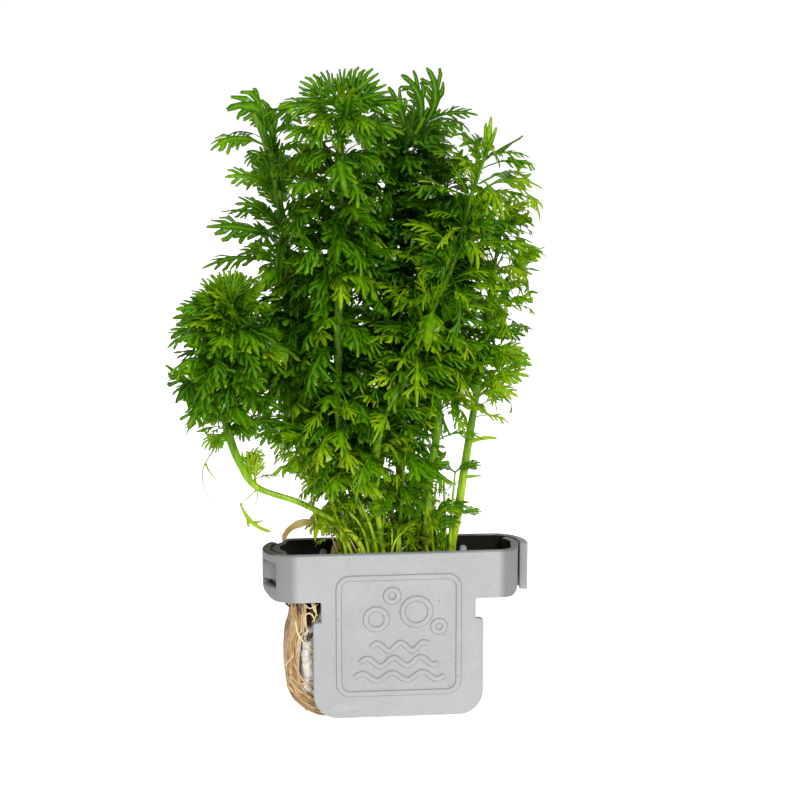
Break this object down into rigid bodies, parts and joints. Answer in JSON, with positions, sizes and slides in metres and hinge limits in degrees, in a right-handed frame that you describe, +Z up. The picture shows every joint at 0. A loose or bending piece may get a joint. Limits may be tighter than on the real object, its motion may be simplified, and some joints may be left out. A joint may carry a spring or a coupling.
{
  "type": "potted dwarf ambulia",
  "caption": "Bunch of feathery-leaved underwater plant stems rooted in white wool, held upright by a small two-part clip-together plastic holder with flat square panels.",
  "frame": {"origin": "middle of the flat underside, on the surface that the holder's panels and the root mass stand on", "axes": "+Z up along the stems; +X along the holder, to the right seen from the front; -Y towards the front panel's outer face"},
  "size_m": [0.0883, 0.0492, 0.153],
  "materials": {
    "holder_plastic": "light grey moulded plastic, satin, faintly grainy",
    "white_wool": "white fibrous plant wool, damp",
    "tan_roots": "mat of thin tan roots, damp",
    "stem_green": "smooth fleshy yellow-green plant stem",
    "leaf_green": "thin translucent satin green leaf"
  },
  "bodies": {
    "root": {"holder_front_half": "holder_plastic", "holder_rear_half": "holder_plastic", "wool_plug": "white_wool", "root_mass": "tan_roots", "stem_left_runner": "stem_green", "stem_front": "stem_green", "stem_right_lean": "stem_green", "stem_middle": "stem_green", "stem_upper_left": "stem_green", "stem_top_right": "stem_green", "stem_lower_right": "stem_green", "stem_low_centre": "stem_green", "stem_low_left": "stem_green", "stem_back_centre": "stem_green", "leaves_left_runner": "leaf_green", "leaves_front": "leaf_green", "leaves_right_lean": "leaf_green", "leaves_middle": "leaf_green", "leaves_upper_left": "leaf_green", "leaves_top_right": "leaf_green", "leaves_lower_right": "leaf_green", "leaves_low_centre": "leaf_green", "leaves_low_left": "leaf_green", "leaves_back_centre": "leaf_green"}
  },
  "joints": []
}
